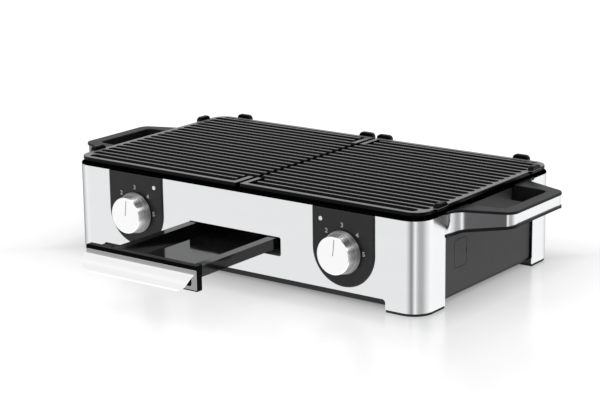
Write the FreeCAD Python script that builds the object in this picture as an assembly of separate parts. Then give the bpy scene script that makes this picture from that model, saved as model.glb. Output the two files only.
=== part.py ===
import FreeCAD, Part
import math
import os

# Electric table grill with two lift-off plates, two heat controls and a drip drawer.
# Millimetres, +Z up, +X to the right seen from the front, front towards -Y.
# Origin: centre of the footprint, on the surface that the feet stand on.

V = FreeCAD.Vector

# ---------------------------------------------------------------- driving sizes
SHELL_HALF_X = 255.15        # outer faces of the steel housing
SHELL_HALF_Y = 146.7
SHELL_CORNER_R = 25.0
SHELL_TOP = 108.3
SHEET = 1.0                  # housing sheet thickness
SIDE_END_Y = 97.0            # the sheet wraps round to here on the sides
FOOT_STEEL_BOTTOM = 3.1      # steel ends here, the rubber pad fills the rest
SKIRT_BOTTOM = 14.7          # lower edge of the steel between the feet
FOOT_INNER_X = 208.6
GAP = 0.3                    # clearance between parts of different bodies

PANEL_X = 152.95             # centre of a control panel, knob and thermostat
PANEL_HALF_W = 42.25
PANEL_BOTTOM = 19.8
PANEL_FACE_Y = -(SHELL_HALF_Y + 2.0)
PANEL_BACK_Y = -(SHELL_HALF_Y - 2.8)
PANEL_ROUND = 1.8            # rounding of the edge that stands proud of the steel
PANEL_SKIN = 2.4             # the panel is hollow behind a skin of this thickness
PANEL_FIT = 0.15
KNOB_Z = 60.8
KNOB_TURN = 6.0              # the pointer stands this much clockwise of upright
LAMP_X = 122.9
LAMP_Z = 95.4
LAMP_R = 2.5

SLOT_LEFT_X = -70.9          # drawer slot in the front sheet
SLOT_RIGHT_X = 64.9
SLOT_BOTTOM = 40.6
SLOT_TOP = 63.2

PLATE_TOP = 117.7            # rib crests and rims of the grill plates
PLATE_HALF_Y = 142.4
PLATE_OUTER_X = 252.9
PLATE_INNER_X = 2.6
PLATE_CORNER_R = 20.0
FLANGE_THICK = 4.0
WALL_INNER_X = 5.6           # walls under the rim, inside the frame's opening
WALL_OUTER_X = 247.4
WALL_HALF_Y = 138.6
WALL_CORNER_R = 18.0
PLATE_BOTTOM = 104.3
POCKET_FLOOR = 112.2         # bottom of the valleys between the ribs
UNDERSIDE = 108.9            # flat underside that the heater lies against
RIM_WIDTH = 6.6
RIB_COUNT = 20
RIB_PITCH = 13.3
FIRST_RIB_Y = -122.8
RIB_CREST = 3.4              # width of a crest
RIB_BASE = 6.4               # width of a rib at the valley floor
RIB_ROUND = 0.9              # rounding of the crests
RIB_END_X = 16.5             # ribs stop here beside the short inner rims
VALLEY_START_X = 9.5         # where the valleys beside the short inner rims begin
INNER_RIM_FROM_Y = 103.0     # the inner rims reach from here to the plate's ends
LUG_LENGTH = 22.0
LUG_THICK = 7.0
LUG_TOP = 123.0
LUG_BACK_X = (13.5, 212.3)
LUG_SIDE_Y = 103.5

FRAME_TOP = 110.6            # black frame round the plates
FRAME_ROUND = 2.1
FRAME_WALL_X = 248.0
FRAME_WALL_Y = 139.2
FRAME_WALL_R = 18.2
FRAME_WALL = 1.8
LEDGE_TOP = 103.9
LEDGE_BOTTOM = 101.0
LEDGE_WIDTH = 10.0

SIDE_FACE_X = 252.2          # outer face of the plastic side panels
SIDE_THICK = 2.2
SIDE_BOTTOM = 12.0
SIDE_HALF_Y = 95.0
COVER_Y = (-73.0, -47.5)     # small service cover in each side panel
COVER_Z = (39.5, 71.5)
COVER_R = 3.0
COVER_GAP = 0.5
COVER_THICK = 1.4

HANDLE_OUTER_X = 316.7       # outer face of the steel band
HANDLE_TOP = 110.4
STRAP_TOP = 107.4
STRAP = 1.5
HANDLE_ARM_Y = 79.5          # where the flared arm would meet the housing side
HANDLE_BAR_Y = 56.4          # where the arm would meet the outer bar
ARM_ROOT_R = 20.0
ARM_TIP_R = 13.0
OPENING_HALF_Y = 48.0        # finger opening at the outer bar, wider at the root
OPENING_FLARE = 4.0
OPENING_OUTER_X = 301.5
GRIP_LIP = 1.4               # plastic flanges stand this much beyond the band
GRIP_DROP = 3.0              # thickness of the flange under the band
GRIP_ROUND = 1.2
HANDLE_SCREW_Y = (66.0, 86.0)
HANDLE_SCREW_Z = 97.0
HANDLE_SCREW_R = 1.9

DRAWER_OUT = 144.5           # how far the drawer stands open in this pose
STOP_DEPTH = 15.0            # stop blocks keep the drawer front this far off the housing
DRAWER_BACK_Y = -(SHELL_HALF_Y + GAP + DRAWER_OUT + STOP_DEPTH)
DRAWER_FRONT_Y = DRAWER_BACK_Y - 7.5
DRAWER_HALF_X = 80.0
DRAWER_BOTTOM = 44.2
DRAWER_TOP = 72.7
STOP_SPANS = ((-75.2, -59.0), (60.0, 68.0))    # stop blocks behind the drawer front
STOP_BOTTOM = 56.0
STOP_TOP = 68.5
TRAY_X = -5.0                # the tray's middle stands this far left of the housing's
TRAY_LENGTH = 240.0
TRAY_RIM_HALF_X = 64.5
TRAY_RIM_TOP = 62.3
TRAY_RIM_WIDTH = 10.9
TRAY_SKIRT_BOTTOM = 49.6     # the rim turns down at its outer edge to this height
TRAY_FLOOR_HALF_X = 52.5
TRAY_BOTTOM = 44.2
TRAY_FRONT_RISE = 0.8        # the floor climbs this much towards the drawer front
TRAY_BEND_Y = -150.0
TRAY_SKIN = 1.5
PULL_HALF_X = 79.0
PULL_TOP = 67.8
PULL_BOTTOM = 45.9
PULL_WINDOW_X = 72.5
PULL_WINDOW_Z = (49.1, 61.0)
PULL_SHEET = 1.2
LIP_HALF_X = 78.0            # the lip curls out from the facing in a quarter turn
LIP_ROOT_Z = 64.6
LIP_R = 14.5
LIP_TURN = 104.8
LIP_CORNER_R = 18.0

BASE_HALF_X = 249.8          # black base pan
BASE_HALF_Y = 143.7
BASE_BOTTOM = 7.5
BASE_FLOOR_TOP = 10.0
BASE_WALL_TOP = 17.0
BASE_CORNER_R = 20.0
BASE_SKIN = 2.0
VENT_FIRST_X = 118.0         # air slots under each heater
VENT_PITCH = 9.0
VENT_COUNT = 8
VENT_HALF_W = 1.8
VENT_HALF_Y = 30.0
POST_X = 225.0               # posts between the base pan and the frame's ledge
POST_Y = 135.6
POST_R = 3.3
SCREW_R = 1.5
SCREW_HOLE_R = 1.7
SCREW_HEAD_R = 3.4
SCREW_HEAD = 2.2
COUNTERBORE_R = 4.2

GLAND_X = -170.0             # mains lead entry in the back wall
GLAND_Z = 34.0
GLAND_BORE_R = 3.75
GLAND_SLEEVE_R = 8.8
GLAND_NUT_R = 12.5

ELEMENT_R = 3.25             # tubular heater
ELEMENT_Z = 104.9
ELEMENT_ROWS = (-105.0, -35.0, 35.0, 105.0)
ELEMENT_X = (62.0, 184.0)    # straight runs reach between these
ELEMENT_LEG_X = 214.0
ELEMENT_LEG_BOTTOM = 78.0
ELEMENT_BEND_R = 12.0
CLIP_X = (85.0, 160.0)
REFLECTOR_FLOOR = 94.0
REFLECTOR_HALF_Y = 126.0
REFLECTOR_INNER_X = 14.5
REFLECTOR_OUTER_X = 236.0
REFLECTOR_SKIN = 0.8
REFLECTOR_FLANGE = 5.2
CHANNEL_HALF_X = 14.3        # gutter under the gap between the plates
CHANNEL_HALF_Y = 125.0
CHANNEL_BOTTOM = 86.0
CHANNEL_FLANGE_X = 22.0
SPOUT_HALF_X = 10.0          # inside of the spout over the drip tray
SPOUT_HALF_Y = 22.0
SPOUT_BOTTOM = 68.0

BRACKET_Y = -141.0           # inner face of the bracket behind a control panel
BRACKET_SKIN = 1.2
PEG_PLACES = ((-22.0, 38.0), (18.0, 38.0), (18.0, 84.0))    # offset from the knob, height
PEG_R = 3.0
SPINDLE_R = 3.0
BUSH_R = 4.5
THERMOSTAT_R = 17.0
THERMOSTAT_DEPTH = 20.0
BLADE_END_Y = BRACKET_Y + THERMOSTAT_DEPTH + 8.0
BLADE_DX = 9.0
KNOB_BACK_Y = PANEL_FACE_Y - 1.0
KNOB_LENGTH = 18.3
KNOB_GRIP_DEPTH = 14.0       # how far the spindle reaches into the knob
GUIDE_INNER_X = TRAY_RIM_HALF_X + 1.0
GUIDE_FRONT_Y = -108.0
GUIDE_BACK_Y = 100.0
GUIDE_SKIN = 1.8
SHELF_TOP = SLOT_BOTTOM - 0.2    # shelf inside the slot, under the tray
SHELF_MARGIN_X = 0.9         # past each end of the slot
SHELF_BACK_Y = -60.0
LEAD_R = 1.25
FAR = 400.0                  # past every face, for cutting shapes


# ---------------------------------------------------------------- shape helpers
def place(axis, u, v, level):
    """Point with in-plane coordinates u, v on the plane that lies at level on an axis."""
    return {"X": V(level, u, v), "Y": V(u, level, v), "Z": V(u, v, level)}[axis]


def corner_cut(before, corner, after, radius):
    """Start, middle and end of the arc that rounds one corner of an outline."""
    one = (before - corner).normalize()
    two = (after - corner).normalize()
    half = one.getAngle(two) / 2
    tangent = radius / math.tan(half)
    bisector = (one + two).normalize()
    middle = corner + bisector * (radius / math.sin(half) - radius)
    return corner + one * tangent, middle, corner + two * tangent


def rounded_wire(points, radii, axis="Z", level=0.0, closed=True):
    """Straight runs and tangent arcs through 2-D corner points."""
    corners = [place(axis, u, v, level) for u, v in points]
    return rounded_path(corners, radii, closed)


def rounded_path(corners, radii, closed=False):
    count = len(corners)
    edges = []
    last = None
    first = None
    for index, corner in enumerate(corners):
        ends = not closed and index in (0, count - 1)
        if ends or radii[index] == 0:
            arc = (corner, None, corner)
        else:
            arc = corner_cut(corners[index - 1], corner, corners[(index + 1) % count], radii[index])
        if last is not None and last.distanceToPoint(arc[0]) > 1e-6:
            edges.append(Part.LineSegment(last, arc[0]).toShape())
        if arc[1] is not None:
            edges.append(Part.Arc(*arc).toShape())
        first = first or arc[0]
        last = arc[2]
    if closed and last.distanceToPoint(first) > 1e-6:
        edges.append(Part.LineSegment(last, first).toShape())
    return Part.Wire(edges)


def prism(points, radii, axis, low, high):
    """Rounded outline pushed from low to high along its axis."""
    if isinstance(radii, (int, float)):
        radii = [radii] * len(points)
    face = Part.Face(rounded_wire(points, radii, axis, low))
    return face.extrude(place(axis, 0, 0, high - low))


def box(x0, x1, y0, y1, z0, z1):
    return Part.makeBox(x1 - x0, y1 - y0, z1 - z0, V(x0, y0, z0))


def rectangle(half_u, half_v):
    return [(-half_u, -half_v), (half_u, -half_v), (half_u, half_v), (-half_u, half_v)]


def rectangle_between(u0, u1, v0, v1):
    return [(u0, v0), (u1, v0), (u1, v1), (u0, v1)]


def rod(radius, start, end, x=0.0, y=0.0, z=0.0, axis="Y"):
    """Round bar along an axis from start to end, its centre line at x, y, z."""
    length = end - start
    base = {"X": V(start, y, z), "Y": V(x, start, z), "Z": V(x, y, start)}[axis]
    return Part.makeCylinder(radius, length, base, place(axis, 0, 0, 1))


def joined(shapes):
    result = shapes[0].fuse(shapes[1:])
    return result.removeSplitter()


def moved_x(shape, x):
    moved = shape.copy()
    moved.translate(V(x, 0, 0))
    return moved


def mirrored_x(shape):
    return shape.mirror(V(0, 0, 0), V(1, 0, 0))


def mirrored_y(shape):
    return shape.mirror(V(0, 0, 0), V(0, 1, 0))


def group(shapes):
    return Part.makeCompound(shapes)


def tube_along(corners, radii, radius):
    """Round solid of constant radius along straight runs and tangent arcs."""
    path = rounded_path([V(*c) for c in corners], radii)
    start = path.OrderedEdges[0]
    heading = start.tangentAt(start.FirstParameter)
    circle = Part.Wire(Part.makeCircle(radius, V(*corners[0]), heading))
    return path.makePipeShell([circle], True, False)


NODES = {}


def pair(name, right_shape):
    """A part and its mirror image on the left."""
    NODES[name + "_right"] = right_shape
    NODES[name + "_left"] = mirrored_x(right_shape)


# ---------------------------------------------------------------- steel housing
def shell_ring(bottom, top):
    outer = prism(rectangle(SHELL_HALF_X, SHELL_HALF_Y), SHELL_CORNER_R, "Z", bottom, top)
    inner = prism(rectangle(SHELL_HALF_X - SHEET, SHELL_HALF_Y - SHEET),
                  SHELL_CORNER_R - SHEET, "Z", bottom - 1, top + 1)
    return outer.cut(inner)


def panel_outline(grow, top=SHELL_TOP + 10):
    """Front view of a control panel: straight sides and a round bottom."""
    half = PANEL_HALF_W + grow
    return rectangle_between(PANEL_X - half, PANEL_X + half, PANEL_BOTTOM - grow, top)


def panel_radii(grow):
    bottom = PANEL_HALF_W + grow - 0.001
    return [bottom, bottom, 0, 0]


def housing_half():
    """Front half of the housing: three walls, with a raised edge between the feet."""
    ring = shell_ring(FOOT_STEEL_BOTTOM, SHELL_TOP)
    front = ring.common(box(-FAR, FAR, -FAR, -SIDE_END_Y, 0, FAR))
    arch = prism(rectangle_between(-FOOT_INNER_X, FOOT_INNER_X, -5, SKIRT_BOTTOM),
                 [0, 0, 4, 4], "Y", -FAR, -SIDE_END_Y)
    return front.cut(arch)


def front_shell():
    shell = housing_half()
    inside_y = -SHELL_HALF_Y + 5
    window = prism(panel_outline(0), panel_radii(0), "Y", -FAR, inside_y)
    slot = prism(rectangle_between(SLOT_LEFT_X, SLOT_RIGHT_X, SLOT_BOTTOM, SLOT_TOP),
                 2.5, "Y", -FAR, inside_y)
    return shell.cut([window, mirrored_x(window), slot])


def gland_rod(radius, start=0.0, end=FAR):
    return rod(radius, start, end, x=GLAND_X, z=GLAND_Z)


def rear_shell():
    shell = mirrored_y(housing_half())
    return shell.cut(gland_rod(GLAND_SLEEVE_R + 0.2))


def cord_gland():
    """Flanged plastic bush that the mains lead passes through."""
    sleeve = gland_rod(GLAND_SLEEVE_R, SHELL_HALF_Y - 9.0, SHELL_HALF_Y)
    flange = gland_rod(GLAND_SLEEVE_R + 2.7, SHELL_HALF_Y, SHELL_HALF_Y + 3.0)
    rim = flange.makeFillet(1.2, [max(flange.Edges, key=lambda e: e.BoundBox.YMin)])
    return joined([sleeve, rim]).cut(gland_rod(GLAND_BORE_R))


def gland_nut():
    turns = [math.radians(60 * k) for k in range(6)]
    hexagon = [(GLAND_X + GLAND_NUT_R * math.cos(a), GLAND_Z + GLAND_NUT_R * math.sin(a)) for a in turns]
    inside = SHELL_HALF_Y - SHEET
    nut = prism(hexagon, 0, "Y", inside - 5.5, inside)
    return nut.cut(gland_rod(GLAND_SLEEVE_R))


# ---------------------------------------------------------------- base
def corner_block(bottom, top, inset):
    """Plan of one housing corner, set in from the steel's outer face."""
    plan = prism(rectangle(SHELL_HALF_X - inset, SHELL_HALF_Y - inset),
                 SHELL_CORNER_R - inset, "Z", bottom, top)
    return plan.common(box(FOOT_INNER_X + 0.6, FAR, -FAR, -SIDE_END_Y - 0.4, bottom, top))


def post_places():
    return [(sx * POST_X, sy * POST_Y) for sx in (-1, 1) for sy in (-1, 1)]


def base_pan():
    outer = prism(rectangle(BASE_HALF_X, BASE_HALF_Y), BASE_CORNER_R, "Z", BASE_BOTTOM, BASE_WALL_TOP)
    hollow = prism(rectangle(BASE_HALF_X - BASE_SKIN, BASE_HALF_Y - BASE_SKIN),
                   BASE_CORNER_R - BASE_SKIN, "Z", BASE_FLOOR_TOP, BASE_WALL_TOP + 1)
    blocks = []
    foot = corner_block(FOOT_STEEL_BOTTOM, BASE_FLOOR_TOP, SHEET + 0.15)
    for shape in (foot, mirrored_y(foot)):
        blocks += [shape, mirrored_x(shape)]
    pan = joined([outer.cut(hollow)] + blocks)
    cuts = []
    for side in (-1, 1):
        for row in range(VENT_COUNT):
            x = side * (VENT_FIRST_X + row * VENT_PITCH)
            outline = rectangle_between(x - VENT_HALF_W, x + VENT_HALF_W, -VENT_HALF_Y, VENT_HALF_Y)
            cuts.append(prism(outline, VENT_HALF_W - 0.05, "Z", BASE_BOTTOM - 1, BASE_FLOOR_TOP + 1))
    for x, y in post_places():
        cuts.append(rod(SCREW_HOLE_R, 0, BASE_WALL_TOP, x=x, y=y, axis="Z"))
        cuts.append(rod(COUNTERBORE_R, 0, BASE_BOTTOM, x=x, y=y, axis="Z"))
    return pan.cut(cuts)


def foot_pad():
    pad = corner_block(0, FOOT_STEEL_BOTTOM, 0.7)
    for x, y in post_places():
        pad = pad.cut(rod(COUNTERBORE_R, -1, FAR, x=x, y=y, axis="Z"))
    return pad


def standoff_posts():
    posts = []
    for x, y in post_places():
        post = rod(POST_R, BASE_FLOOR_TOP, LEDGE_BOTTOM, x=x, y=y, axis="Z")
        posts.append(post.cut(rod(SCREW_R, 0, BASE_FLOOR_TOP + 14, x=x, y=y, axis="Z")))
    return group(posts)


def base_screws():
    screws = []
    for x, y in post_places():
        head = rod(SCREW_HEAD_R, BASE_BOTTOM - SCREW_HEAD, BASE_BOTTOM, x=x, y=y, axis="Z")
        shank = rod(SCREW_R, BASE_BOTTOM, BASE_FLOOR_TOP + 12, x=x, y=y, axis="Z")
        recess_top = BASE_BOTTOM - SCREW_HEAD + 1.0
        along = box(x - 2.0, x + 2.0, y - 0.4, y + 0.4, 0, recess_top)
        across = box(x - 0.4, x + 0.4, y - 2.0, y + 2.0, 0, recess_top)
        screws.append(joined([head, shank]).cut([along, across]))
    return group(screws)


# ---------------------------------------------------------------- side panels
def side_panel():
    inner = SIDE_FACE_X - SIDE_THICK
    panel = prism(rectangle_between(-SIDE_HALF_Y, SIDE_HALF_Y, SIDE_BOTTOM, SHELL_TOP - 0.4),
                  [3, 3, 0, 0], "X", inner, SIDE_FACE_X)
    pocket_outline = rectangle_between(COVER_Y[0] - COVER_GAP, COVER_Y[1] + COVER_GAP,
                                       COVER_Z[0] - COVER_GAP, COVER_Z[1] + COVER_GAP)
    pocket = prism(pocket_outline, COVER_R + COVER_GAP, "X", SIDE_FACE_X - COVER_THICK, FAR)
    holes = [rod(HANDLE_SCREW_R + 0.1, 0, FAR, y=y, z=z, axis="X") for y, z in handle_screw_places()]
    return panel.cut([pocket] + holes)


def service_cover():
    """Small lid with a finger notch in its rear edge."""
    cover = prism(rectangle_between(*COVER_Y, *COVER_Z), COVER_R, "X",
                  SIDE_FACE_X - COVER_THICK, SIDE_FACE_X)
    middle = sum(COVER_Z) / 2
    notch = box(SIDE_FACE_X - 0.6, FAR, COVER_Y[1] - 1.2, FAR, middle - 3, middle + 3)
    return cover.cut(notch)


# ---------------------------------------------------------------- handles
def handle_outline(inset):
    """Plan of a handle: root, flared arm, outer bar and the same again at the back."""
    slope = (HANDLE_ARM_Y - HANDLE_BAR_Y) / (HANDLE_OUTER_X - SHELL_HALF_X)
    shift = inset * math.hypot(1, slope)
    root_x = SHELL_HALF_X - inset
    bar_x = HANDLE_OUTER_X - inset
    arm_y = HANDLE_ARM_Y - shift + inset * slope
    bar_y = arm_y - slope * (bar_x - root_x)
    half = [(root_x, -SIDE_END_Y + 0.3), (root_x, -arm_y), (bar_x, -bar_y)]
    outline = half + [(u, -v) for u, v in reversed(half)]
    back_x = SIDE_FACE_X
    outline += [(back_x, SIDE_END_Y - 0.3), (back_x, -SIDE_END_Y + 0.3)]
    root_r = ARM_ROOT_R + inset
    tip_r = ARM_TIP_R - inset
    return outline, [0, root_r, tip_r, tip_r, root_r, 0, 0, 0]


def handle_profile(drop, top):
    """Side view of a handle: deep at the roots, shallow along the outer bar."""
    half = [(-SIDE_END_Y, 84.3), (-85.0, 84.5), (-58.0, 94.2), (-45.0, 95.2)]
    lower = half + [(-y, z) for y, z in reversed(half)]
    points = [(y, z - drop) for y, z in lower]
    points += [(SIDE_END_Y, top), (-SIDE_END_Y, top)]
    return prism(points, [0, 18, 25, 25, 25, 25, 18, 0, 0, 0], "X", 0, FAR)


def handle_strap():
    """Steel band round the outside of a handle."""
    outline, radii = handle_outline(0)
    inner, inner_radii = handle_outline(STRAP)
    inner[0] = (inner[0][0], -SIDE_END_Y - 1)
    inner[5] = (inner[5][0], SIDE_END_Y + 1)
    inner[6] = (inner[6][0] - 5, SIDE_END_Y + 1)
    inner[7] = (inner[7][0] - 5, -SIDE_END_Y - 1)
    band = prism(outline, radii, "Z", 0, FAR).cut(prism(inner, inner_radii, "Z", -1, FAR + 1))
    return band.common(handle_profile(0, STRAP_TOP))


def handle_grip():
    """Plastic body inside the band, flanged above and below it, with a finger opening."""
    inside, inside_radii = handle_outline(STRAP)
    outside, outside_radii = handle_outline(-GRIP_LIP)
    side_view = handle_profile(GRIP_DROP, HANDLE_TOP)
    core = prism(inside, inside_radii, "Z", 0, HANDLE_TOP).common(side_view)
    flanges = prism(outside, outside_radii, "Z", 0, HANDLE_TOP).common(side_view)
    body = joined([core, flanges.cut(handle_profile(0, STRAP_TOP))])
    inside_x = SIDE_FACE_X - 5
    root = OPENING_HALF_Y + OPENING_FLARE
    opening = prism([(inside_x, -root), (OPENING_OUTER_X, -OPENING_HALF_Y),
                     (OPENING_OUTER_X, OPENING_HALF_Y), (inside_x, root)], [0, 8, 8, 0], "Z", 0, FAR)
    grip = body.cut(opening)
    top = [e for e in grip.Edges if e.BoundBox.ZMin > HANDLE_TOP - 0.01 and e.BoundBox.XMax > SHELL_HALF_X]
    under_frame = box(0, SHELL_HALF_X + GAP, -FAR, FAR, SHELL_TOP, FAR)
    return grip.makeFillet(GRIP_ROUND, top).cut(under_frame)


def handle_screw_places():
    return [(side * y, HANDLE_SCREW_Z) for side in (-1, 1) for y in HANDLE_SCREW_Y]


def handle_screws():
    screws = []
    inner = SIDE_FACE_X - SIDE_THICK
    for y, z in handle_screw_places():
        head = rod(SCREW_HEAD_R, inner - SCREW_HEAD, inner, y=y, z=z, axis="X")
        shank = rod(HANDLE_SCREW_R, inner, SIDE_FACE_X, y=y, z=z, axis="X")
        screws.append(joined([head, shank]))
    return group(screws)


# ---------------------------------------------------------------- black frame round the plates
def top_frame():
    lip = prism(rectangle(SHELL_HALF_X, SHELL_HALF_Y), SHELL_CORNER_R, "Z", SHELL_TOP, FRAME_TOP)
    top_edges = [e for e in lip.Edges if e.BoundBox.ZMin > FRAME_TOP - 0.01]
    lip = lip.makeFillet(FRAME_ROUND, top_edges)
    wall = prism(rectangle(FRAME_WALL_X + FRAME_WALL, FRAME_WALL_Y + FRAME_WALL),
                 FRAME_WALL_R + FRAME_WALL, "Z", LEDGE_BOTTOM, SHELL_TOP)
    opening = prism(rectangle(FRAME_WALL_X, FRAME_WALL_Y), FRAME_WALL_R, "Z", LEDGE_TOP, FRAME_TOP + 1)
    through = prism(rectangle(FRAME_WALL_X - LEDGE_WIDTH, FRAME_WALL_Y - LEDGE_WIDTH),
                    FRAME_WALL_R - LEDGE_WIDTH / 2, "Z", LEDGE_BOTTOM - 1, LEDGE_TOP + 1)
    return joined([lip, wall]).cut([opening, through])


# ---------------------------------------------------------------- grill plates
def rim_outline():
    return rectangle_between(PLATE_INNER_X, PLATE_OUTER_X, -PLATE_HALF_Y, PLATE_HALF_Y)


def plate_radii(outer):
    return [2.0, outer, outer, 2.0]


def wall_outline(inset):
    return rectangle_between(WALL_INNER_X + inset, WALL_OUTER_X - inset,
                             -WALL_HALF_Y + inset, WALL_HALF_Y - inset)


def valley_levels():
    """Heights of a valley's sections and how far each stands outside the nominal crest edge."""
    slope = (RIB_BASE - RIB_CREST) / 2
    levels = [(POCKET_FLOOR, -slope - RIB_ROUND / 2), (POCKET_FLOOR + RIB_ROUND / 2, -slope + 0.1)]
    for turn in (0, 30, 60, 90):
        angle = math.radians(turn)
        drop = RIB_ROUND * (1 - math.sin(angle))
        levels.append((PLATE_TOP - drop, RIB_ROUND * (1 - math.cos(angle)) - 0.1))
    return levels + [(PLATE_TOP + 1.0, levels[-1][1])]


def valley(y_low, y_high, x_low, x_high):
    """Tapered groove with round ends, open at the top, its upper edge rounded over."""
    rows = []
    for level, grow in valley_levels():
        low = y_low - grow
        high = y_high + grow
        outline = rectangle_between(x_low - grow, x_high + grow, low, high)
        rows.append(rounded_wire(outline, [(high - low) / 2 - 0.05] * 4, "Z", level))
    return Part.makeLoft(rows, True, True)


def valleys():
    crest = RIB_CREST / 2
    ribs = [FIRST_RIB_Y + RIB_PITCH * k for k in range(RIB_COUNT)]
    lows = [-PLATE_HALF_Y + RIM_WIDTH] + [y + crest for y in ribs]
    highs = [y - crest for y in ribs] + [PLATE_HALF_Y - RIM_WIDTH]
    end = PLATE_OUTER_X - RIM_WIDTH
    grooves = []
    for low, high in zip(lows, highs):
        middle = (low + high) / 2
        reach = end
        if abs(middle) > PLATE_HALF_Y - RIM_WIDTH - 12:
            reach = end - PLATE_CORNER_R * 0.35
        if abs(middle) > INNER_RIM_FROM_Y:
            start = VALLEY_START_X
        else:
            start = -12.0
        grooves.append(valley(low, high, start, reach))
    return grooves


def drain_pockets():
    """Dark wells between the ends of the ribs and the short inner rims."""
    pockets = []
    for side in (-1, 1):
        near = INNER_RIM_FROM_Y * side
        far = (PLATE_HALF_Y - RIM_WIDTH) * side
        outline = rectangle_between(PLATE_INNER_X + RIM_WIDTH, RIB_END_X - 1.5,
                                    min(near, far), max(near, far))
        pockets.append(prism(outline, 2.5, "Z", POCKET_FLOOR, PLATE_TOP + 1))
    return pockets


def lug(along, x, y):
    """Upright tab with round shoulders, its length along X or Y."""
    half = LUG_LENGTH / 2
    middle = x if along == "X" else y
    depth = y if along == "X" else x
    axis = "Y" if along == "X" else "X"
    bottom = PLATE_TOP - FLANGE_THICK + 0.5
    outline = rectangle_between(middle - half, middle + half, bottom, LUG_TOP)
    tab = prism(outline, [1, 1, 5.5, 5.5], axis, depth - LUG_THICK / 2, depth + LUG_THICK / 2)
    top = [e for e in tab.Edges if e.BoundBox.ZMax > LUG_TOP - 5.6 and e.Length > LUG_THICK + 0.5]
    return tab.makeFillet(1.6, top)


def grill_plate():
    """Ribbed casting: rim, lower walls, hollow underside, valleys and lugs."""
    rim = prism(rim_outline(), plate_radii(PLATE_CORNER_R), "Z", PLATE_TOP - FLANGE_THICK, PLATE_TOP)
    rim_edges = [e for e in rim.Edges if e.BoundBox.ZMin > PLATE_TOP - 0.01]
    rim = rim.makeFillet(1.2, rim_edges)
    body = prism(wall_outline(0), plate_radii(WALL_CORNER_R), "Z", PLATE_BOTTOM, PLATE_TOP - FLANGE_THICK)
    hollow = prism(wall_outline(4), plate_radii(WALL_CORNER_R), "Z", PLATE_BOTTOM - 1, UNDERSIDE)
    lugs = [lug("X", x, PLATE_HALF_Y + 0.5) for x in LUG_BACK_X]
    lugs += [lug("Y", PLATE_OUTER_X - 0.5, side * LUG_SIDE_Y) for side in (-1, 1)]
    plate = joined([rim, body]).cut([hollow] + valleys() + drain_pockets())
    return joined([plate] + lugs)


# ---------------------------------------------------------------- heaters and drip path
def heating_element():
    """Tubular heater: four runs under the plate and two legs down to the terminals."""
    low, high = ELEMENT_X
    bend = (ELEMENT_ROWS[1] - ELEMENT_ROWS[0]) / 2
    corners = [(ELEMENT_LEG_X, ELEMENT_ROWS[0], ELEMENT_LEG_BOTTOM),
               (ELEMENT_LEG_X, ELEMENT_ROWS[0], ELEMENT_Z)]
    radii = [0, ELEMENT_BEND_R]
    for index, row in enumerate(ELEMENT_ROWS):
        end = low - bend if index % 2 == 0 else high + bend
        if index < 3:
            corners += [(end, row, ELEMENT_Z), (end, ELEMENT_ROWS[index + 1], ELEMENT_Z)]
            radii += [bend - 0.001, bend - 0.001]
    corners += [(ELEMENT_LEG_X, ELEMENT_ROWS[3], ELEMENT_Z),
                (ELEMENT_LEG_X, ELEMENT_ROWS[3], ELEMENT_LEG_BOTTOM)]
    radii += [ELEMENT_BEND_R, 0]
    return tube_along(corners, radii, ELEMENT_R)


def half_tray_outline(grow):
    """Plan of the reflector: open towards the middle, rounded outer corners."""
    half_y = REFLECTOR_HALF_Y + grow
    return rectangle_between(-REFLECTOR_INNER_X, REFLECTOR_OUTER_X + grow, -half_y, half_y)


def reflector_pan():
    top = LEDGE_BOTTOM
    flange_bottom = top - REFLECTOR_SKIN
    floor_top = REFLECTOR_FLOOR + REFLECTOR_SKIN
    corner = 8.0
    walls = prism(half_tray_outline(0), [0, corner, corner, 0], "Z", REFLECTOR_FLOOR, flange_bottom)
    flange = prism(half_tray_outline(REFLECTOR_FLANGE), [0, corner + 4, corner + 4, 0], "Z",
                   flange_bottom, top)
    inner_corner = corner - REFLECTOR_SKIN
    hollow = prism(half_tray_outline(-REFLECTOR_SKIN), [0, inner_corner, inner_corner, 0], "Z",
                   floor_top, top + 1)
    other_half = box(-FAR, REFLECTOR_INNER_X, -FAR, FAR, 0, FAR)
    legs = [rod(5.0, 0, FAR, x=ELEMENT_LEG_X, y=y, axis="Z") for y in (ELEMENT_ROWS[0], ELEMENT_ROWS[3])]
    return joined([walls, flange]).cut([hollow, other_half] + legs)


def element_clips():
    clips = []
    half_x = 3.0
    half_y = ELEMENT_R + 2.25
    for row in ELEMENT_ROWS:
        for x in CLIP_X:
            clip = box(x - half_x, x + half_x, row - half_y, row + half_y,
                       REFLECTOR_FLOOR + REFLECTOR_SKIN, ELEMENT_Z - 0.6)
            clips.append(clip.cut(rod(ELEMENT_R, 0, FAR, y=row, z=ELEMENT_Z, axis="X")))
    return group(clips)


def centred_box(half_x, half_y, bottom, top):
    return box(-half_x, half_x, -half_y, half_y, bottom, top)


def grease_channel():
    """Gutter under the gap between the plates, with a spout over the drip tray."""
    skin = 1.0
    gutter = centred_box(CHANNEL_HALF_X, CHANNEL_HALF_Y, CHANNEL_BOTTOM, REFLECTOR_FLOOR)
    hollow = centred_box(CHANNEL_HALF_X - skin, CHANNEL_HALF_Y - skin, CHANNEL_BOTTOM + skin, FAR)
    flange = centred_box(CHANNEL_FLANGE_X, CHANNEL_HALF_Y, REFLECTOR_FLOOR - REFLECTOR_SKIN, REFLECTOR_FLOOR)
    spout = centred_box(SPOUT_HALF_X + skin, SPOUT_HALF_Y + skin, SPOUT_BOTTOM, CHANNEL_BOTTOM + skin)
    hole = centred_box(SPOUT_HALF_X, SPOUT_HALF_Y, 0, FAR)
    return joined([gutter, flange, spout]).cut([hollow, hole])


# ---------------------------------------------------------------- controls
def knob_rod(radius, start, end):
    """Round bar on the axis of the right-hand knob."""
    return rod(radius, start, end, x=PANEL_X, z=KNOB_Z)


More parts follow.
